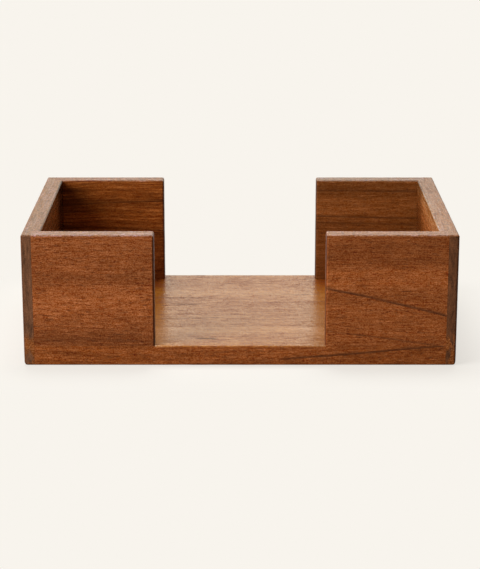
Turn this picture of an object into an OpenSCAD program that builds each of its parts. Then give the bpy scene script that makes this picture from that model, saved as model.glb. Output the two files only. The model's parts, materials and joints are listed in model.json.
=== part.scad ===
// Open wooden napkin holder: a base board, two end walls, and a front and back that are split by a gap.
// The origin is the middle of the underside. X is the width, +Y points to the back and Z is up.

/* [Overall] */
// Width over the two end walls
holder_w = 235; // [200:1:280]
// Depth from the front face to the back face
holder_d = 146; // [120:1:200]
// Height of the rim above the table
holder_h = 73; // [55:1:110]

/* [Boards] */
// Thickness of the end walls
end_t = 10; // [8:0.5:14]
// Thickness of the front and back walls
wall_t = 10; // [8:0.5:14]
// Thickness of the base board
base_t = 11; // [9:0.5:16]
// Width of the gap in the front and in the back
gap_w = 92.5; // [60:0.5:120]
// Part of an end wall's thickness that laps past the other boards and shows its end grain
tongue_t = 5.6; // [4:0.1:7]

/* [Eased edges] */
// Radius of the rim's edges and of the gaps' upright edges
rim_r = 1.2; // [0.5:0.1:2]
// Radius of the upright outer corners
corner_r = 1.4; // [0.5:0.1:3]
// Radius of the walls' top corners beside the gaps
gap_corner_r = 1.6; // [0.5:0.1:4]
// Radius of the end walls' bottom edges
foot_r = 2.4; // [0.5:0.1:3.5]
// Radius of the base board's front and back edges
base_edge_r = 1; // [0.5:0.1:3]

/* [Dowels] */
// Diameter of the dowels between the walls and the base
dowel_d = 5; // [4:0.5:6]
// How far a dowel stands up into its wall
dowel_rise = 12.5; // [8:0.5:20]
// Wood left in the base under each dowel
dowel_floor = 3; // [2:0.5:5]
// Width of the bevel at both ends of a dowel
dowel_bevel = 0.6; // [0.3:0.1:1]
// Clearance all round a dowel in its bore
dowel_clear = 0.05; // [0.02:0.01:0.15]
// Room for glue past each end of a dowel
glue_room = 0.5; // [0.2:0.1:1]

/* [Hidden] */
$fn = 64;
overrun = 1;
// Places of a wall's dowels, from the gap outwards
dowel_shares = [0.22, 0.78];
front_colour = [0.52, 0.29, 0.15];
end_colour = [0.47, 0.29, 0.18];
base_colour = [0.57, 0.33, 0.19];
dowel_colour = [0.84, 0.72, 0.53];

inner_w = holder_w - 2 * end_t;
inner_d = holder_d - 2 * wall_t;
// The base and the short walls reach this far out, into the laps of the end walls
lapped_w = holder_w - 2 * tongue_t;
lap_t = end_t - tongue_t;
wall_l = (lapped_w - gap_w) / 2;
wall_h = holder_h - base_t;
dowel_bottom = dowel_floor + glue_room;
dowel_l = base_t + dowel_rise - dowel_bottom;
bore_d = dowel_d + 2 * dowel_clear;

// What rounding takes off a square corner that lies at the origin, with the wood towards +X and +Y
module corner_nick(r) {
  difference() {
    translate([-overrun, -overrun]) square(r + overrun);
    translate([r, r]) circle(r);
  }
}

// Rectangle on the origin with its lower and upper corners rounded alike, left and right
module eased_rect(size, low_r, high_r) {
  difference() {
    square(size);
    corner_nick(low_r);
    translate([size[0], 0]) mirror([1, 0]) corner_nick(low_r);
    translate([0, size[1]]) mirror([0, 1]) corner_nick(high_r);
    translate(size) rotate(180) corner_nick(high_r);
  }
}

// Outline drawn in X and Z, carried towards +Y
module along_depth(depth) {
  translate([0, depth, 0]) rotate([90, 0, 0]) linear_extrude(depth) children();
}

// Outline drawn in Y and Z, carried towards +X
module along_width(width) {
  rotate([90, 0, 90]) linear_extrude(width) children();
}

// The whole block with its outer edges eased, which every board keeps within
module eased_block() {
  translate([-holder_w / 2, -holder_d / 2, 0])
    intersection() {
      linear_extrude(holder_h) eased_rect([holder_w, holder_d], corner_r, corner_r);
      along_depth(holder_d) eased_rect([holder_w, holder_h], foot_r, rim_r);
      along_width(holder_w) eased_rect([holder_d, holder_h], base_edge_r, rim_r);
    }
}

// Easing of the rim's inner edge, along the four walls and round the inner corners
module inner_rim_cut() {
  for (turn = [0, 180])
    rotate(turn) {
      translate([-inner_w / 2, -inner_d / 2, holder_h]) along_width(inner_w) rotate(180) corner_nick(rim_r);
      translate([-inner_w / 2, -inner_d / 2, holder_h]) along_depth(inner_d) rotate(180) corner_nick(rim_r);
    }
  for (flip_x = [0, 1], flip_y = [0, 1])
    mirror([flip_x, 0, 0]) mirror([0, flip_y, 0]) translate([inner_w / 2, inner_d / 2, holder_h])
      rotate_extrude(angle = 90)
        intersection() {
          mirror([0, 1]) corner_nick(rim_r);
          translate([0, -rim_r]) square([rim_r, rim_r + overrun]);
        }
}

// Puts its children on the axis of each dowel of the back right wall, at the base's upper face
module at_wall_dowels() {
  for (place_share = dowel_shares)
    translate([gap_w / 2 + place_share * wall_l, (holder_d - wall_t) / 2, base_t]) children();
}

// Puts its children in all four corners of the holder
module in_four_corners() {
  for (flip_x = [0, 1], flip_y = [0, 1])
    mirror([flip_x, 0, 0]) mirror([0, flip_y, 0]) children();
}

// The back right wall, which the other three mirror
module short_wall() {
  difference() {
    intersection() {
      translate([gap_w / 2, 0, base_t])
        intersection() {
          translate([0, holder_d / 2 - wall_t, 0]) linear_extrude(wall_h) gap_end_plan();
          translate([0, holder_d / 2 - wall_t, 0]) along_depth(wall_t) gap_end_front();
        }
      eased_block();
    }
    inner_rim_cut();
    at_wall_dowels() translate([0, 0, -overrun]) cylinder(d = bore_d, h = dowel_rise + glue_room + overrun);
  }
}

// Plan of a short wall, with the two upright edges at the gap eased
module gap_end_plan() {
  difference() {
    square([wall_l, wall_t]);
    corner_nick(rim_r);
    translate([0, wall_t]) mirror([0, 1]) corner_nick(rim_r);
  }
}

// Front view of a short wall, with the top corner at the gap rounded
module gap_end_front() {
  difference() {
    square([wall_l, wall_h]);
    translate([0, wall_h]) mirror([0, 1]) corner_nick(gap_corner_r);
  }
}

// The right end wall: a full tongue outside, and inside it a thicker middle between the three laps
module end_wall() {
  difference() {
    intersection() {
      union() {
        translate([lapped_w / 2, -holder_d / 2, 0]) cube([tongue_t, holder_d, holder_h]);
        translate([inner_w / 2, -inner_d / 2, base_t]) cube([lap_t, inner_d, wall_h]);
      }
      eased_block();
    }
    inner_rim_cut();
  }
}

module base_board() {
  color(base_colour)
    difference() {
      intersection() {
        translate([-lapped_w / 2, -holder_d / 2, 0]) cube([lapped_w, holder_d, base_t]);
        eased_block();
      }
      for (turn = [0, 180])
        rotate(turn) translate([-gap_w / 2, -holder_d / 2, base_t])
          along_width(gap_w) mirror([0, 1]) corner_nick(base_edge_r);
      in_four_corners() at_wall_dowels() translate([0, 0, dowel_floor - base_t])
        cylinder(d = bore_d, h = base_t - dowel_floor + overrun);
    }
}

module left_end_wall() {
  color(end_colour) mirror([1, 0, 0]) end_wall();
}

module right_end_wall() {
  color(end_colour) end_wall();
}

module front_left_wall() {
  color(front_colour) rotate(180) short_wall();
}

module front_right_wall() {
  color(front_colour) mirror([0, 1, 0]) short_wall();
}

module back_left_wall() {
  color(front_colour) mirror([1, 0, 0]) short_wall();
}

module back_right_wall() {
  color(front_colour) short_wall();
}

// One dowel on the origin, with both ends bevelled
module dowel() {
  bevel_d = dowel_d - 2 * dowel_bevel;
  cylinder(d1 = bevel_d, d2 = dowel_d, h = dowel_bevel);
  translate([0, 0, dowel_bevel]) cylinder(d = dowel_d, h = dowel_l - 2 * dowel_bevel);
  translate([0, 0, dowel_l - dowel_bevel]) cylinder(d1 = dowel_d, d2 = bevel_d, h = dowel_bevel);
}

module wall_dowels() {
  color(dowel_colour) in_four_corners() at_wall_dowels() translate([0, 0, dowel_bottom - base_t]) dowel();
}

base_board();
left_end_wall();
right_end_wall();
front_left_wall();
front_right_wall();
back_left_wall();
back_right_wall();
wall_dowels();
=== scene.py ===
"""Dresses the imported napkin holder: boards with sanded edges and fine seams, and solid wood shading."""
import json
import math

import bmesh
import bpy
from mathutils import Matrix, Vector, noise


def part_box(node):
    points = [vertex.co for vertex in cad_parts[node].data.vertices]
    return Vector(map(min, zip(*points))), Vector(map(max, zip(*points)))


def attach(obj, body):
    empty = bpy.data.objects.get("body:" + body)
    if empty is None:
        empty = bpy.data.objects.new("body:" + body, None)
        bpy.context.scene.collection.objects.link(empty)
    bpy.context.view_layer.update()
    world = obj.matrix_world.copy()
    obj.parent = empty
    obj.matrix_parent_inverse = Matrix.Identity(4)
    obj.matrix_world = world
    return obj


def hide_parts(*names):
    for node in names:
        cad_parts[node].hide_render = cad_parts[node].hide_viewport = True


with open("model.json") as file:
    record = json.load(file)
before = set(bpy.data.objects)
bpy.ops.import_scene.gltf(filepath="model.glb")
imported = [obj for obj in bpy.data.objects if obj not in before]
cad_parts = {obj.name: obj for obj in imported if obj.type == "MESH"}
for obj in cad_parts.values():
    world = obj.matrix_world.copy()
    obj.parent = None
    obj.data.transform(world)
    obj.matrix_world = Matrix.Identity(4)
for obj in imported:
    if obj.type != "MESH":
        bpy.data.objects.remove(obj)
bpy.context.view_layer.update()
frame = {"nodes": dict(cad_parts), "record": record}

MM = 0.001

# Half the holder's width and depth, read from the frame
HALF_WIDTH, HALF_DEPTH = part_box("right_end_wall")[1][:2]

# Boards: the fine bevel along every seam, and how unevenly the rounded edges were sanded
SEAM_BEVEL = 0.2 * MM
SEAM_LEAST = 3 * MM
SEAM_ANGLE = math.radians(60)
SEAM_SEGMENTS = 2
SEAM_PROFILE = 0.6
SAND_DEPTH = 0.07 * MM
SAND_PATCH = 9 * MM
SAND_BIAS = 0.25
SLICE = 5 * MM
SAME_POINT = 1e-6
CUT_REACH = 1e-7
SAME_FACING = 0.9999
FLAT_ANGLE = math.radians(0.3)
SHARP_ANGLE = math.radians(20)
NORMAL_WEIGHT = 50

# Camera, which stands in front of the holder and looks down at it
PHOTO_W = 480
FOCAL_PX = 1820
CAMERA_AHEAD = 0.9428
CAMERA_HIGH = 0.310
CAMERA_DOWN = math.radians(15.66)
SENSOR = 36.0

# Light: soft boxes placed by angle as seen from above, where 0 is the front and 180 the back
BACKDROP = (0.939, 0.905, 0.847)
AMBIENT = 0.15
BOX_REACH = 1.3
SOFT_BOXES = {
    "key_box": {"azimuth": -64, "elevation": 26, "side": 0.9, "watts": 22.5, "colour": (1.0, 1.0, 1.0)},
    "top_box": {"azimuth": 180, "elevation": 70, "side": 0.8, "watts": 13.0, "colour": (1.0, 1.0, 1.0)},
    "back_box": {"azimuth": 180, "elevation": 20, "side": 0.8, "watts": 1.8, "colour": (1.0, 0.97, 0.76)},
}

# Floor: what the camera sees near the holder is partly lit, so that it shows the shadow
FLOOR_SIDE = 14.0
FLOOR_DROP = 0.05 * MM
FLOOR_LIT = (0.76, 0.735, 0.695)
FLOOR_DIM = (0.42, 0.40, 0.37)
SHADOW_REACH = (0.0, 0.045)
SHADOW_SHARE = 0.31

# What the boards have in common. The boards below say where they differ.
# cloud, streaks, flecks: strength of the widest, middle and finest grain, all times contrast
# tone, upper: tint of the whole board, and of its upper face alone, which is paler partly as sanded wear and
# partly as painted sheen
# upper_gain, bleach: how far the grain shows on the upper face, as colour and as paleness
# burnish: painted shade on the rounded upright corners, how dark it makes them
PLAIN_WOOD = {
    "contrast": 1.0,
    "cloud": 0.30,
    "streaks": 1.0,
    "flecks": 1.0,
    "painted_edge_shade": 0.0,
    "rough": 0.40,
    "ior": 1.22,
    "upper": (1.0, 1.0, 1.0),
    "upper_gain": 0.6,
    "bleach": 0.16,
    "bands": [],
    "lines": [],
    "deep_lines": [],
}

# Each board's own wood. Places are in millimetres as seen from the front.
# seed: which piece of the endless grain the board is cut from
# bands: place across the board, half width, and how much lighter, or darker below zero
# lines: dark growth lines, each from one place to another, with width and strength
# deep_lines: the same, seen on the base's front edge
# ticks, threads, shaded_end: strength of short dark ticks, of longer threads, and of painted shade at a
# cloudy end
# sawn, corner_shade, inner_edge_shading: an end wall's sawn colour, the painted shade at the back of its
# inner face, and the painted light and shade along that face's upper edge
# back_rim_shade: painted shade on the rim towards the back
WOODS = {
    "front_left_wall": {
        "seed": (3.0, 11.0, 5.0),
        "tone": (1.10, 1.23, 1.60),
        "contrast": 0.92,
        "streaks": 0.9,
        "painted_edge_shade": 0.7,
        "ticks": 0.6,
        "upper": (0.756, 0.887, 2.55),
        "bands": [(36, 9, 0.19), (48, 4, -0.07), (61, 7, 0.04), (15, 5, -0.13)],
        "lines": [(-112, 14, -46, 13, 1.0, 0.25)],
    },
    "front_right_wall": {
        "seed": (41.0, 23.0, 17.0),
        "tone": (1.30, 1.445, 1.79),
        "contrast": 0.90,
        "streaks": 0.9,
        "painted_edge_shade": 0.15,
        "ticks": 0.5,
        "upper": (0.67, 0.72, 1.8),
        "bands": [(49, 6, 0.11), (63, 7, -0.13), (38, 4, -0.05), (33, 3, 0.03), (20, 7, 0.03)],
        "lines": [(46, 43, 112, 28, 1.2, 1.0), (46, 19, 112, 10.5, 0.8, 0.6)],
    },
    "back_left_wall": {
        "seed": (77.0, 5.0, 29.0),
        "tone": (1.05, 1.14, 0.95),
        "contrast": 1.3,
        "streaks": 1.4,
        "flecks": 0.5,
        "painted_edge_shade": 0.3,
        "shaded_end": 0.45,
        "upper": (0.655, 0.715, 3.0),
        "bands": [(64, 2, 0.07), (61, 4, -0.07), (56, 4, -0.10), (50, 3, 0.05), (38, 5, -0.08)],
        "lines": [(-112, 58, -46, 60, 1.1, 0.6), (-112, 44, -46, 41, 0.9, 0.4)],
    },
    "back_right_wall": {
        "seed": (15.0, 61.0, 37.0),
        "tone": (0.88, 1.135, 1.38),
        "contrast": 0.9,
        "streaks": 1.05,
        "flecks": 0.62,
        "painted_edge_shade": 0.2,
        "upper": (0.715, 0.746, 2.28),
        "bands": [(68, 3, -0.05), (57, 5, 0.06), (44, 4, -0.06)],
        "lines": [
            (46, 67, 112, 66, 1.0, 0.6),
            (46, 50, 112, 49, 0.9, 0.7),
            (46, 46.5, 112, 45, 0.8, 0.5),
            (46, 40, 112, 41, 0.8, 0.4),
        ],
    },
    "base_board": {
        "seed": (59.0, 31.0, 7.0),
        "tone": (1.154, 1.266, 1.495),
        "contrast": 1.2,
        "cloud": 0.08,
        "streaks": 0.8,
        "flecks": 0.7,
        "threads": 0.62,
        "rough": 0.20,
        "ior": 1.205,
        "upper": (0.845, 0.634, 0.269),
        "upper_gain": 1.2,
        "bleach": 0.0,
        "bands": [
            (33, 8, 0.11),
            (9, 6, -0.045),
            (-27, 6, 0.04),
            # This band lightens the base in its front half, partly as grain and partly as painted light
            (-43, 7, 0.14),
            (61, 9, -0.015),
            (-73, 3, 0.02),
        ],
        "lines": [
            (-24, -60, -13, -61, 2.2, 1.0),
            (-48, 22, -18, 21, 2.0, 0.5),
            (-38, 8, -24, 7, 2.0, 0.6),
            (-46, 52, 20, 54, 1.5, 0.2),
            (-46, -22, -12, -20, 1.8, 0.35),
            (10, 30, 48, 28.5, 1.8, 0.4),
        ],
        "deep_lines": [(23, 2.5, 111, 10.4, 0.9, 1.0), (88, 8.9, 111, 10.3, 1.2, 0.8)],
    },
    "left_end_wall": {
        "seed": (9.0, 47.0, 53.0),
        "tone": (0.88, 1.07, 1.40),
        "contrast": 1.2,
        "streaks": 1.3,
        "flecks": 0.6,
        "painted_edge_shade": 0.6,
        "rough": 0.24,
        "sawn": (116, 69, 40),
        "corner_shade": (0.12, 0.09, 0.07),
        "inner_edge_shading": (0.85, 0.95, 1.0),
        "upper": (0.70, 0.70, 1.65),
        "upper_gain": 0.40,
        "bands": [(68, 6, 0.10), (50, 8, -0.06), (24, 8, -0.08)],
    },
    "right_end_wall": {
        "seed": (27.0, 13.0, 71.0),
        "tone": (1.00, 1.18, 1.44),
        "contrast": 1.1,
        "streaks": 2.0,
        "flecks": 0.8,
        "painted_edge_shade": 0.5,
        "rough": 0.24,
        "sawn": (105, 59, 31),
        "corner_shade": (0.38, 0.33, 0.26),
        "inner_edge_shading": (0.97, 1.40, 2.0),
        "back_rim_shade": (0.70, 0.64, 0.42),
        "upper": (0.74, 0.635, 0.905),
        "upper_gain": 0.45,
        "bands": [(68, 7, 0.28), (44, 8, -0.10), (24, 8, 0.06)],
    },
    "wall_dowels": {
        "seed": (1.0, 2.0, 3.0),
        "tone": (1.6, 1.6, 1.6),
        "ior": 1.28,
        "upper_gain": 1.0,
    },
}

# Which of X, Y and Z runs along the grain, across the board's width and through its thickness
GRAIN_AXES = {
    "base_board": (0, 1, 2),
    "left_end_wall": (1, 2, 0),
    "right_end_wall": (1, 2, 0),
    "wall_dowels": (2, 0, 1),
}
WALL_AXES = (0, 2, 1)

# Noises: repeats a millimetre along, across and through the grain, then detail and roughness.
# The grain drifts from its straight course by about the millimetres of GRAIN_DRIFT
NOISES = {
    "drift": ((0.010, 0.022, 0.022), 1.0, 0.5),
    "wide": ((0.004, 0.055, 0.055), 1.0, 0.5),
    "figure": ((0.10, 0.16, 0.16), 2.0, 0.5),
    "streak": ((0.015, 0.34, 0.34), 2.0, 0.5),
    "thread": ((0.12, 0.70, 0.70), 3.0, 0.8),
    "fibre": ((0.045, 1.2, 1.2), 2.0, 0.7),
    "dash": ((0.25, 1.3, 1.3), 2.0, 0.7),
    "tick": ((0.11, 1.5, 1.5), 2.0, 0.6),
    "fleck": ((1.3, 1.9, 1.9), 3.0, 0.8),
    "pore": ((0.35, 3.2, 3.2), 1.0, 0.5),
    "speckle": ((0.55, 1.6, 0.8), 3.0, 0.8),
    "year_line": ((0.3, 0.11, 0.55), 4.0, 0.7),
    "foot_patch": ((0.3, 0.10, 0.32), 2.0, 0.5),
}
GRAIN_NOISES = ("wide", "figure", "streak", "fibre", "dash", "fleck", "pore")
GRAIN_DRIFT = (0.0, 9.0, 9.0)
SEED_SPREAD = 100

# Weights of the grain: what changes the wood's tone, and what only lightens or darkens it close up,
# there with its own gain for red, green and blue. The year lines' pitch is in millimetres
STREAK_TONE = 0.30
FIBRE_TONE = 0.42
FIGURE_TONE = 0.22
RING_TONE = 0.08
FIBRE_CLOSE = 0.43
DASH_CLOSE = 1.10
FLECK_CLOSE = 2.60
CLOSE_GAINS = (1.30, 2.25, 5.1)
LEAST_GAIN = (0.05, 0.05, 0.05)
RING_PITCH = 3.3
RING_TILT = 0.6
RING_WANDER = 6.0

# Bands fade from the first to the second of these, in half widths. Their places wander by millimetres
BAND_FADE = (0.3, 1.5)
BAND_WANDER = 6.0

# Growth lines: their edges in line widths, their tips and sway in millimetres, and where they break up
LINE_RISE = (-0.5, 0.0)
LINE_FALL = (0.2, 1.6)
LINE_TIP = 1.5
LINE_SWAY = 5.0
LINE_BREAK = (0.30, 0.55, 0.65, 1.0)
LINE_DEPTH = 0.75
LINE_COLOUR = (54, 26, 10)

# Short dark ticks, pores, and the painted shade at the cloudy left end of the back left wall
TICK_RANGE = (0.60, 0.72)
PORE_RANGE = (0.58, 0.72)
PORE_DEPTH = 0.60
PORE_COLOUR = (62, 28, 9)
SHADED_END_REACH = (-84.0, -108.0)
SHADED_END_CLOUDS = (0.34, 0.56, 1.0, 0.25)

# The wood's own colours on the sides, from the darkest streak to the lightest, and paler ones on upper faces,
# partly as sanded wear and partly as painted sheen
WOOD_STOPS = [
    (0.00, (84, 36, 8)),
    (0.30, (114, 56, 18)),
    (0.50, (134, 68, 25)),
    (0.70, (154, 80, 32)),
    (1.00, (184, 98, 42)),
]
UPPER_STOPS = [
    (0.00, (100, 48, 2)),
    (0.30, (126, 72, 8)),
    (0.50, (146, 91, 27)),
    (0.70, (165, 112, 56)),
    (1.00, (190, 142, 98)),
]
DARKEST = (0.004, 0.004, 0.004)

# How far a face turns until it counts as sawn across, as an upper face, or as an upright corner
SAWN_FACING = (0.6, 0.85)
UPPER_FACING = (0.25, 0.8)
CORNER_FACING = (0.08, 0.40)

# Sawn ends: plain ones beside the gaps, darker partly as end grain and partly as painted shade, and the end
# walls' strips with their year lines and warm foot
GAP_GRAIN_TINT = (0.36, 0.28, 0.20)
YEAR_LINES = 2.8
SAWN_FLECKS = 2.6
FOOT_REACH = (14.0, 19.0)
FOOT_PATCH = (0.38, 0.52)
FOOT_TINT = (1.25, 1.30, 1.35)

# Inner faces of the end walls: painted shade towards the back corner, and painted light and shade along the
# upper edge.
# INWARD is compared with the place across the holder times the face's turn, which is below zero inside
INWARD = (-65.0, -28.0)
CORNER_REACH = (20.0, 47.0)
INNER_EDGE_REACH = (56.0, 73.0)

# Rims: speckle of wear, and where painted shade makes the right one darker towards the back
SPECKLE_RANGE = (0.40, 0.62)
RIM_SPECKLE = 0.40
RIM_ROUGH = 0.40
BACK_RIM_SHADE_REACH = (-40.0, 60.0)

# Base: painted shade beside the back walls, where they shadow the base and darken its sheen, and two places
# of painted sheen beside the gap
BACK_WALL_SHADE_TINT = (0.86, 0.62, 0.45)
BACK_WALL_SHADE_BESIDE = (43.0, 50.0)
BACK_WALL_SHADE_BEHIND = (25.0, 60.0)
SHEEN_PATCHES = [
    {"begins": (-25.0, -46.0), "ends": (-88.0, -46.0), "front": (30.0, -60.0), "tint": (1.35, 1.65, 3.8)},
    {"begins": (22.0, 46.0), "ends": (88.0, 46.0), "front": (70.0, -30.0), "tint": (0.98, 1.18, 2.9)},
]

# Gloss and relief
STREAK_DULL = 0.25
LINE_DULL = 0.25
PORE_DULL = 0.15
FIBRE_RISE = 1.2
BUMP_STRENGTH = 0.8
BUMP_HEIGHT = 0.05 * MM


class Graph:
    """Small helper that adds shader nodes and wires their inputs."""

    def __init__(self, tree):
        self.tree = tree
        tree.nodes.clear()

    def add(self, kind, inputs=(), **settings):
        """A new node with its inputs linked or set."""
        made = self.tree.nodes.new(kind)
        for name, value in settings.items():
            setattr(made, name, value)
        for key, value in dict(inputs).items():
            self.feed(made.inputs[key], value)
        return made

    def feed(self, socket, value):
        """Links a socket to another, or sets its value."""
        if isinstance(value, bpy.types.NodeSocket):
            self.tree.links.new(value, socket)
        elif isinstance(value, (tuple, list, Vector)) and len(value) == 3 and socket.type == "RGBA":
            socket.default_value = (*value, 1.0)
        else:
            socket.default_value = value

    def math(self, operation, first, second=0.0, clamp=False):
        made = self.add("ShaderNodeMath", {0: first, 1: second}, operation=operation)
        made.use_clamp = clamp
        return made.outputs[0]

    def vector(self, operation, first, second=None, scale=None):
        made = self.add("ShaderNodeVectorMath", {0: first}, operation=operation)
        if second is not None:
            self.feed(made.inputs[1], second)
        if scale is not None:
            self.feed(made.inputs["Scale"], scale)
        return made.outputs["Value"] if operation == "LENGTH" else made.outputs["Vector"]

    def split(self, vector):
        """The three numbers of a vector."""
        return self.add("ShaderNodeSeparateXYZ", {0: vector}).outputs

    def join(self, first, second, third):
        """A vector of three numbers."""
        return self.add("ShaderNodeCombineXYZ", {0: first, 1: second, 2: third}).outputs[0]

    def noise(self, place, kind, output="Fac"):
        """One of the noises named above, smooth and about 0.5."""
        scale, detail, roughness = NOISES[kind]
        stretched = self.vector("MULTIPLY", place, scale)
        settings = {"Vector": stretched, "Scale": 1.0, "Detail": detail, "Roughness": roughness}
        return self.add("ShaderNodeTexNoise", settings, noise_dimensions="3D").outputs[output]

    def about_zero(self, value, gain):
        """A value that lies about 0.5, moved to lie about zero and multiplied by a gain."""
        return self.math("MULTIPLY", self.math("SUBTRACT", value, 0.5), gain)

    def ramp(self, value, low, high, to_low=0.0, to_high=1.0):
        """Rises smoothly from to_low to to_high while the value goes from low to high."""
        settings = {"Value": value, "From Min": low, "From Max": high, "To Min": to_low, "To Max": to_high}
        return self.add("ShaderNodeMapRange", settings, interpolation_type="SMOOTHSTEP").outputs["Result"]

    def mix(self, factor, first, second, blend="MIX"):
        """Mixes two colours, whose sockets are 6 and 7 of the node, with the result at 2."""
        made = self.add("ShaderNodeMix", data_type="RGBA", blend_type=blend)
        self.feed(made.inputs["Factor"], factor)
        self.feed(made.inputs[6], first)
        self.feed(made.inputs[7], second)
        return made.outputs[2]

    def times(self, colour, tint):
        """A colour multiplied by a tint."""
        return self.mix(1.0, colour, tint, "MULTIPLY")

    def tinted(self, factor, colour, tint):
        """A colour that takes on a tint where the factor says so."""
        return self.mix(factor, colour, self.times(colour, tint))

    def colours(self, value, stops):
        """Colour of a value from 0 to 1 along the given stops."""
        made = self.add("ShaderNodeValToRGB", {"Fac": value})
        made.color_ramp.interpolation = "B_SPLINE"
        while len(made.color_ramp.elements) < len(stops):
            made.color_ramp.elements.new(0.5)
        for element, (place, colour) in zip(made.color_ramp.elements, stops):
            element.position = place
            element.color = (*linear(colour), 1.0)
        return made.outputs["Color"]


def linear(colour):
    """Linear light of a colour given in screen values of 0 to 255."""
    return tuple((c / 255 / 12.92) if c <= 10 else ((c / 255 + 0.055) / 1.055) ** 2.4 for c in colour)


def board_coordinates(graph, axes, seed):
    """Millimetres along the grain, across the board and through it, plain and drifting with the grain."""
    place = graph.add("ShaderNodeTexCoord").outputs["Object"]
    split = graph.split(graph.vector("SCALE", place, scale=1 / MM))
    parts = [split[axis] for axis in axes]
    shifted = graph.vector("ADD", graph.join(*parts), tuple(SEED_SPREAD * s for s in seed))
    drift = graph.vector("SUBTRACT", graph.noise(shifted, "drift", "Color"), (0.5, 0.5, 0.5))
    return parts, graph.vector("ADD", shifted, graph.vector("MULTIPLY", drift, GRAIN_DRIFT))


def growth_rings(graph, place, streak):
    """Fine uneven year lines, about three millimetres apart, from 0 to 1."""
    split = graph.split(place)
    depth = graph.math("MULTIPLY", split[2], RING_TILT)
    phase = graph.math("ADD", graph.math("ADD", split[1], depth), graph.math("MULTIPLY", streak, RING_WANDER))
    wave = graph.math("SINE", graph.math("MULTIPLY", phase, 2 * math.pi / RING_PITCH))
    return graph.math("ADD", graph.math("MULTIPLY", wave, 0.5), 0.5)


def growth_line(graph, along, across, sway, line):
    """Darkness of one thin growth line, sharp on its lower side and soft on its upper side."""
    start_x, start_z, end_x, end_z, width, strength = line
    slope = (end_z - start_z) / (end_x - start_x)
    run = graph.math("MULTIPLY", graph.math("SUBTRACT", along, start_x), slope)
    level = graph.math("ADD", graph.math("ADD", run, start_z), graph.about_zero(sway, LINE_SWAY))
    above = graph.math("SUBTRACT", across, level)
    rise = graph.ramp(above, *(width * edge for edge in LINE_RISE))
    fall = graph.ramp(above, *(width * edge for edge in LINE_FALL), 1.0, 0.0)
    begun = graph.ramp(along, start_x - LINE_TIP, start_x + LINE_TIP)
    going = graph.ramp(along, end_x - LINE_TIP, end_x + LINE_TIP, 1.0, 0.0)
    shape = graph.math("MULTIPLY", rise, fall)
    reach = graph.math("MULTIPLY", begun, going)
    return graph.math("MULTIPLY", graph.math("MULTIPLY", shape, reach), strength)


def line_darkness(graph, wood, parts, grain):
    """Darkness of all growth lines of a board, a little broken up by its streaks, or nothing."""
    darkness = None
    for across, lines in ((parts[1], wood["lines"]), (parts[2], wood["deep_lines"])):
        for line in lines:
            mask = growth_line(graph, parts[0], across, grain["wide"], line)
            darkness = mask if darkness is None else graph.math("MAXIMUM", darkness, mask)
    if darkness is None:
        return None
    return graph.math("MULTIPLY", darkness, graph.ramp(grain["streak"], *LINE_BREAK))


def grain_tone(graph, wood, parts, place, grain):
    """Tone of the wood from dark to light, about 0.5, as its wider grain and bands make it."""
    layers = [
        (grain["wide"], wood["cloud"]),
        (grain["streak"], STREAK_TONE * wood["streaks"]),
        (grain["fibre"], FIBRE_TONE * wood["streaks"]),
        (grain["figure"], FIGURE_TONE),
        (growth_rings(graph, place, grain["streak"]), RING_TONE),
    ]
    if "threads" in wood:
        layers.append((graph.noise(place, "thread"), wood["threads"]))
    tone = 0.5
    for source, weight in layers:
        tone = graph.math("ADD", tone, graph.about_zero(source, weight * wood["contrast"]))
    across = graph.math("ADD", parts[1], graph.about_zero(grain["figure"], BAND_WANDER))
    for centre, half, gain in wood["bands"]:
        off = graph.math("ABSOLUTE", graph.math("SUBTRACT", across, centre))
        fade = (half * edge for edge in BAND_FADE)
        tone = graph.math("ADD", tone, graph.ramp(off, *fade, gain, 0.0))
    # Painted shade: the back left wall turns darker at its left end, beside the end wall, broken up by its
    # streaks
    if "shaded_end" in wood:
        near_end = graph.ramp(parts[0], *SHADED_END_REACH)
        cloudy = graph.ramp(grain["streak"], *SHADED_END_CLOUDS)
        darker = graph.math("MULTIPLY", graph.math("MULTIPLY", near_end, cloudy), wood["shaded_end"])
        tone = graph.math("SUBTRACT", tone, darker)
    return tone


def close_grain(graph, wood, grain):
    """The finest grain, about zero, which lightens and darkens the wood nearly without changing its hue."""
    layers = (
        (grain["fibre"], FIBRE_CLOSE * wood["streaks"]),
        (grain["dash"], DASH_CLOSE * wood["flecks"]),
        (grain["fleck"], FLECK_CLOSE * wood["flecks"]),
    )
    close = 0.0
    for source, weight in layers:
        close = graph.math("ADD", close, graph.about_zero(source, weight * wood["contrast"]))
    return close


def side_colour(graph, wood, place, tone, close, pores, lines):
    """Colour of the wood's planed sides."""
    colour = graph.colours(tone, WOOD_STOPS)
    gains = graph.vector("ADD", graph.vector("SCALE", CLOSE_GAINS, scale=close), (1.0, 1.0, 1.0))
    colour = graph.vector("MULTIPLY", colour, graph.vector("MAXIMUM", gains, LEAST_GAIN))
    if "ticks" in wood:
        ticks = graph.ramp(graph.noise(place, "tick"), *TICK_RANGE, 0.0, wood["ticks"])
        colour = graph.mix(ticks, colour, linear(LINE_COLOUR))
    colour = graph.mix(pores, colour, linear(PORE_COLOUR))
    if lines is not None:
        colour = graph.mix(graph.math("MULTIPLY", lines, LINE_DEPTH), colour, linear(LINE_COLOUR))
    return colour


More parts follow.
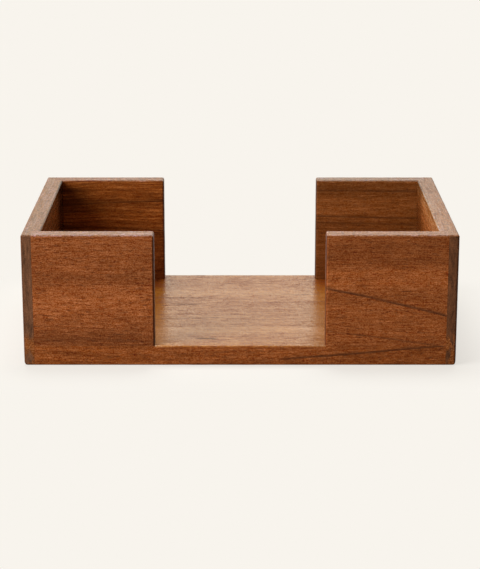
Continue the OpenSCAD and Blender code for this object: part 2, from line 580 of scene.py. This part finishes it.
def end_grain_colour(graph, wood, colour, parts, place, fleck):
    """Colour of a sawn end: cut year lines that run up it, and on the end walls a warm patchy foot."""
    if "sawn" not in wood:
        # Plain sawn ends are darker, partly as end grain and partly as painted shade
        return graph.times(colour, GAP_GRAIN_TINT)
    shade = graph.about_zero(graph.noise(place, "year_line"), YEAR_LINES)
    shade = graph.math("ADD", shade, graph.about_zero(fleck, SAWN_FLECKS))
    cut = graph.vector("SCALE", linear(wood["sawn"]), scale=graph.math("ADD", shade, 1.0))
    patch = graph.ramp(graph.noise(place, "foot_patch"), *FOOT_PATCH)
    foot = graph.math("MULTIPLY", graph.ramp(parts[1], *FOOT_REACH, 1.0, 0.0), patch)
    return graph.mix(foot, cut, graph.times(colour, FOOT_TINT))


def rim_speckle_and_shade(graph, wood, parts, place, upper_wear_and_sheen):
    """Colour of a rim with its speckle of wear, and on the right end wall painted shade towards the back."""
    speckle = graph.ramp(graph.noise(place, "speckle"), *SPECKLE_RANGE, 1.0 + RIM_SPECKLE, 1.0 - RIM_SPECKLE)
    upper_wear_and_sheen = graph.vector("SCALE", upper_wear_and_sheen, scale=speckle)
    # Painted shade: the right end wall's rim turns darker towards the back
    if "back_rim_shade" in wood:
        upper_wear_and_sheen = graph.tinted(graph.ramp(parts[0], *BACK_RIM_SHADE_REACH), upper_wear_and_sheen, wood["back_rim_shade"])
    return upper_wear_and_sheen


def base_lines_shade_and_sheen(graph, parts, lines, upper_wear_and_sheen):
    """Colour of the base's upper face with its growth lines, painted shade beside the back walls and painted
    sheen beside the gap.
    """
    upper_wear_and_sheen = graph.mix(graph.math("MULTIPLY", lines, LINE_DEPTH), upper_wear_and_sheen, linear(LINE_COLOUR))
    # Painted shade beside the back walls, where they shadow the base and darken its sheen
    beside = graph.ramp(graph.math("ABSOLUTE", parts[0]), *BACK_WALL_SHADE_BESIDE)
    behind = graph.ramp(parts[1], *BACK_WALL_SHADE_BEHIND)
    upper_wear_and_sheen = graph.tinted(graph.math("MULTIPLY", beside, behind), upper_wear_and_sheen, BACK_WALL_SHADE_TINT)
    # Painted sheen: two greyer, paler places beside the gap
    for sheen_patch in SHEEN_PATCHES:
        begun = graph.ramp(parts[0], *sheen_patch["begins"])
        sheen_mask = graph.math("MULTIPLY", begun, graph.ramp(parts[0], *sheen_patch["ends"]))
        sheen_mask = graph.math("MULTIPLY", sheen_mask, graph.ramp(parts[1], *sheen_patch["front"]))
        upper_wear_and_sheen = graph.tinted(sheen_mask, upper_wear_and_sheen, sheen_patch["tint"])
    return upper_wear_and_sheen


def upper_colour(graph, name, wood, parts, place, tone, lines):
    """Colour of an upper face, paler partly as sanded wear and partly as painted sheen."""
    stretch = graph.about_zero(tone, wood["upper_gain"])
    upper_wear_and_sheen = graph.colours(graph.math("ADD", stretch, 0.5), UPPER_STOPS)
    if name == "base_board":
        upper_wear_and_sheen = graph.times(upper_wear_and_sheen, wood["upper"])
        upper_wear_and_sheen = base_lines_shade_and_sheen(graph, parts, lines, upper_wear_and_sheen)
    else:
        upper_wear_and_sheen = rim_speckle_and_shade(graph, wood, parts, place, upper_wear_and_sheen)
        upper_wear_and_sheen = graph.times(upper_wear_and_sheen, wood["upper"])
    bleached = graph.math("MULTIPLY", stretch, wood["bleach"])
    bleached = graph.join(bleached, bleached, bleached)
    return graph.vector("MAXIMUM", graph.vector("ADD", upper_wear_and_sheen, bleached), DARKEST)


def inner_face_colour(graph, wood, colour, parts, facing):
    """Colour of an end wall with painted shade at the back corner of its inner face, and painted light and
    shade along that face's upper edge.
    """
    inward = graph.math("MULTIPLY", parts[2], facing[0])
    inner = graph.ramp(inward, *INWARD, 1.0, 0.0)
    # Painted shade, standing in for the back wall's shadow, towards the back corner of the inner face
    corner = graph.math("MULTIPLY", inner, graph.ramp(parts[0], *CORNER_REACH))
    colour = graph.tinted(corner, colour, wood["corner_shade"])
    # Painted light and shade along the inner face's upper edge: lighter on the right end wall, a little
    # darker on the left
    edge_shading = graph.math("MULTIPLY", inner, graph.ramp(parts[1], *INNER_EDGE_REACH))
    return graph.tinted(edge_shading, colour, wood["inner_edge_shading"])


def surface_roughness(graph, name, wood, grain, tone, pores, lines, upper):
    """Roughness that follows the grain, with a worn rim on the walls and dull growth lines on the base."""
    if name == "base_board":
        roughness = wood["rough"]
        dull = graph.math("SUBTRACT", 0.5, tone)
        dull = graph.math("ADD", dull, graph.math("MULTIPLY", lines, LINE_DULL))
    else:
        roughness = graph.math("MULTIPLY", upper, RIM_ROUGH - wood["rough"])
        roughness = graph.math("ADD", roughness, wood["rough"])
        dull = graph.about_zero(grain["streak"], STREAK_DULL)
    roughness = graph.math("ADD", roughness, dull)
    return graph.math("ADD", roughness, graph.math("MULTIPLY", pores, PORE_DULL), clamp=True)


def wood_material(name, axes):
    """Procedural wood of one board: its grain, sawn ends, paler upper face, wear, painted light and shade,
    gloss and relief.
    """
    wood = {**PLAIN_WOOD, **WOODS[name]}
    material = bpy.data.materials.new("wood_" + name)
    material.use_nodes = True
    graph = Graph(material.node_tree)
    parts, place = board_coordinates(graph, axes, wood["seed"])
    facing = graph.split(graph.add("ShaderNodeNewGeometry").outputs["Normal"])

    grain = {kind: graph.noise(place, kind) for kind in GRAIN_NOISES}
    tone = grain_tone(graph, wood, parts, place, grain)
    close = close_grain(graph, wood, grain)
    full_tone = graph.math("ADD", tone, close)
    pores = graph.ramp(grain["pore"], *PORE_RANGE, 0.0, PORE_DEPTH)
    lines = line_darkness(graph, wood, parts, grain)

    colour = side_colour(graph, wood, place, tone, close, pores, lines)
    sawn = graph.ramp(graph.math("ABSOLUTE", facing[axes[0]]), *SAWN_FACING)
    colour = graph.mix(sawn, colour, end_grain_colour(graph, wood, colour, parts, place, grain["fleck"]))
    upper = graph.ramp(facing[2], *UPPER_FACING)
    colour = graph.mix(upper, colour, upper_colour(graph, name, wood, parts, place, full_tone, lines))
    colour = graph.times(colour, wood["tone"])
    if "sawn" in wood:
        colour = inner_face_colour(graph, wood, colour, parts, facing)
    # Painted shade: the rounded upright corners are darkened towards the pore colour
    corner = graph.math("ABSOLUTE", graph.math("MULTIPLY", facing[0], facing[1]))
    corner = graph.ramp(corner, *CORNER_FACING, 0.0, wood["painted_edge_shade"])
    colour = graph.mix(corner, colour, linear(PORE_COLOUR))

    roughness = surface_roughness(graph, name, wood, grain, full_tone, pores, lines, upper)
    height = graph.math("ADD", graph.math("MULTIPLY", grain["fibre"], FIBRE_RISE), grain["fleck"])
    height = graph.math("ADD", graph.math("SUBTRACT", height, pores), grain["streak"])
    bump = graph.add("ShaderNodeBump", {"Strength": BUMP_STRENGTH, "Distance": BUMP_HEIGHT, "Height": height})
    shader = graph.add("ShaderNodeBsdfPrincipled", {
        "Base Color": colour, "Roughness": roughness, "IOR": wood["ior"], "Normal": bump.outputs["Normal"],
    })
    out = graph.add("ShaderNodeOutputMaterial")
    graph.tree.links.new(shader.outputs[0], out.inputs["Surface"])
    return material


def sand_edges(mesh_edit, seed):
    """Moves the points of rounded edges a little in or out, as hand sanding leaves them."""
    mesh_edit.normal_update()
    for vert in mesh_edit.verts:
        normals = [face.normal for face in vert.link_faces]
        if all(normal.dot(normals[0]) > SAME_FACING for normal in normals):
            continue
        amount = noise.noise(vert.co / SAND_PATCH + Vector(seed)) - SAND_BIAS
        vert.co += vert.normal * amount * SAND_DEPTH


def slice_along(mesh_edit, low, high):
    """Cuts the mesh every few millimetres along each axis, so that long edges can be uneven."""
    for axis in range(3):
        count = int((high[axis] - low[axis]) / SLICE)
        direction = Vector([float(axis == other) for other in range(3)])
        for step in range(1, count):
            point = Vector(low)
            point[axis] += (high[axis] - low[axis]) * step / count
            everything = mesh_edit.verts[:] + mesh_edit.edges[:] + mesh_edit.faces[:]
            bmesh.ops.bisect_plane(
                mesh_edit, geom=everything, dist=CUT_REACH, plane_co=point, plane_no=direction)


def finished_mesh(name):
    """The board's mesh with fine bevels along its seams and softly uneven rounded edges."""
    edit = bmesh.new()
    edit.from_mesh(frame["nodes"][name].data)
    bmesh.ops.remove_doubles(edit, verts=edit.verts, dist=SAME_POINT)
    bmesh.ops.dissolve_limit(edit, angle_limit=FLAT_ANGLE, verts=edit.verts, edges=edit.edges)
    edit.normal_update()
    if name != "wall_dowels":
        seams = [
            edge for edge in edit.edges
            if edge.calc_length() > SEAM_LEAST and edge.calc_face_angle(0) > SEAM_ANGLE
        ]
        bmesh.ops.bevel(
            edit, geom=seams, offset=SEAM_BEVEL, segments=SEAM_SEGMENTS, profile=SEAM_PROFILE,
            affect="EDGES", clamp_overlap=True)
        slice_along(edit, *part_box(name))
        sand_edges(edit, WOODS[name]["seed"])
    mesh = bpy.data.meshes.new(name + "_finished")
    edit.to_mesh(mesh)
    edit.free()
    mesh.polygons.foreach_set("use_smooth", [True] * len(mesh.polygons))
    mesh.set_sharp_from_angle(angle=SHARP_ANGLE)
    return mesh


def finished_board(name):
    """A finished copy of the board in its own wood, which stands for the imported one."""
    board = bpy.data.objects.new(name + "_finished", finished_mesh(name))
    bpy.context.scene.collection.objects.link(board)
    weighted = board.modifiers.new("weighted", "WEIGHTED_NORMAL")
    weighted.mode = "FACE_AREA"
    weighted.weight = NORMAL_WEIGHT
    weighted.keep_sharp = True
    board.data.materials.append(wood_material(name, GRAIN_AXES.get(name, WALL_AXES)))
    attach(board, "root")
    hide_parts(name)


def build_floor():
    """Pale floor that the camera sees in the backdrop's colour, with a soft shadow near the holder."""
    mesh = bpy.data.meshes.new("floor")
    half = FLOOR_SIDE / 2
    corners = [(-half, -half, 0), (half, -half, 0), (half, half, 0), (-half, half, 0)]
    mesh.from_pydata(corners, [], [(0, 1, 2, 3)])
    floor = bpy.data.objects.new("floor", mesh)
    floor.location.z = -FLOOR_DROP
    bpy.context.scene.collection.objects.link(floor)
    material = bpy.data.materials.new("floor_paper")
    material.use_nodes = True
    graph = Graph(material.node_tree)
    place = graph.vector("ABSOLUTE", graph.add("ShaderNodeTexCoord").outputs["Object"])
    outside = graph.vector("SUBTRACT", place, (HALF_WIDTH, HALF_DEPTH, 0))
    outside = graph.vector("LENGTH", graph.vector("MAXIMUM", outside, (0, 0, 0)))
    near = graph.ramp(outside, *SHADOW_REACH, SHADOW_SHARE, 0.0)
    glow = graph.add("ShaderNodeEmission", {"Color": BACKDROP, "Strength": 1.0}).outputs[0]
    lit = graph.add("ShaderNodeBsdfDiffuse", {"Color": FLOOR_LIT}).outputs[0]
    seen = graph.add("ShaderNodeMixShader", {0: near, 1: glow, 2: lit}).outputs[0]
    dim = graph.add("ShaderNodeBsdfDiffuse", {"Color": FLOOR_DIM}).outputs[0]
    path = graph.add("ShaderNodeLightPath").outputs
    shown = graph.math("MAXIMUM", path["Is Camera Ray"], path["Is Transmission Ray"])
    both = graph.add("ShaderNodeMixShader", {0: shown, 1: dim, 2: seen}).outputs[0]
    out = graph.add("ShaderNodeOutputMaterial")
    graph.tree.links.new(both, out.inputs["Surface"])
    floor.data.materials.append(material)


def build_soft_box(name, box):
    """A square lamp that faces the holder from its own angle."""
    turn = math.radians(box["azimuth"])
    rise = math.radians(box["elevation"])
    level = Vector((math.sin(turn), -math.cos(turn), 0.0)) * math.cos(rise)
    toward = level + Vector((0.0, 0.0, math.sin(rise)))
    lamp = bpy.data.lights.new(name, "AREA")
    lamp.shape = "SQUARE"
    lamp.size = box["side"]
    lamp.energy = box["watts"]
    lamp.color = box["colour"]
    holder = bpy.data.objects.new(name, lamp)
    holder.location = toward * BOX_REACH
    holder.rotation_euler = toward.to_track_quat("Z", "Y").to_euler()
    bpy.context.scene.collection.objects.link(holder)


def build_surrounding():
    """Pale surrounding that is faint as light, and in the backdrop's full colour where it is seen."""
    world = bpy.data.worlds.new("studio")
    bpy.context.scene.world = world
    world.use_nodes = True
    graph = Graph(world.node_tree)
    path = graph.add("ShaderNodeLightPath").outputs
    seen = graph.math("MAXIMUM", path["Is Camera Ray"], path["Is Glossy Ray"])
    seen = graph.math("MAXIMUM", seen, path["Is Transmission Ray"])
    strength = graph.math("ADD", graph.math("MULTIPLY", seen, 1.0 - AMBIENT), AMBIENT)
    sky = graph.add("ShaderNodeBackground", {"Color": BACKDROP, "Strength": strength}).outputs[0]
    out = graph.add("ShaderNodeOutputWorld")
    graph.tree.links.new(sky, out.inputs["Surface"])


def build_camera():
    """Camera at the photo's viewing angle."""
    lens = bpy.data.cameras.new("camera")
    lens.sensor_fit = "HORIZONTAL"
    lens.sensor_width = SENSOR
    lens.lens = SENSOR * FOCAL_PX / PHOTO_W
    camera = bpy.data.objects.new("camera", lens)
    camera.location = (0.0, -HALF_DEPTH - CAMERA_AHEAD, CAMERA_HIGH)
    camera.rotation_euler = (math.pi / 2 - CAMERA_DOWN, 0.0, 0.0)
    bpy.context.scene.collection.objects.link(camera)
    bpy.context.scene.camera = camera


build_camera()
build_floor()
for box_name, soft_box in SOFT_BOXES.items():
    build_soft_box(box_name, soft_box)
build_surrounding()
for entry in frame["record"]["subparts"]:
    finished_board(entry["node"])
bpy.context.scene.view_settings.view_transform = "Standard"
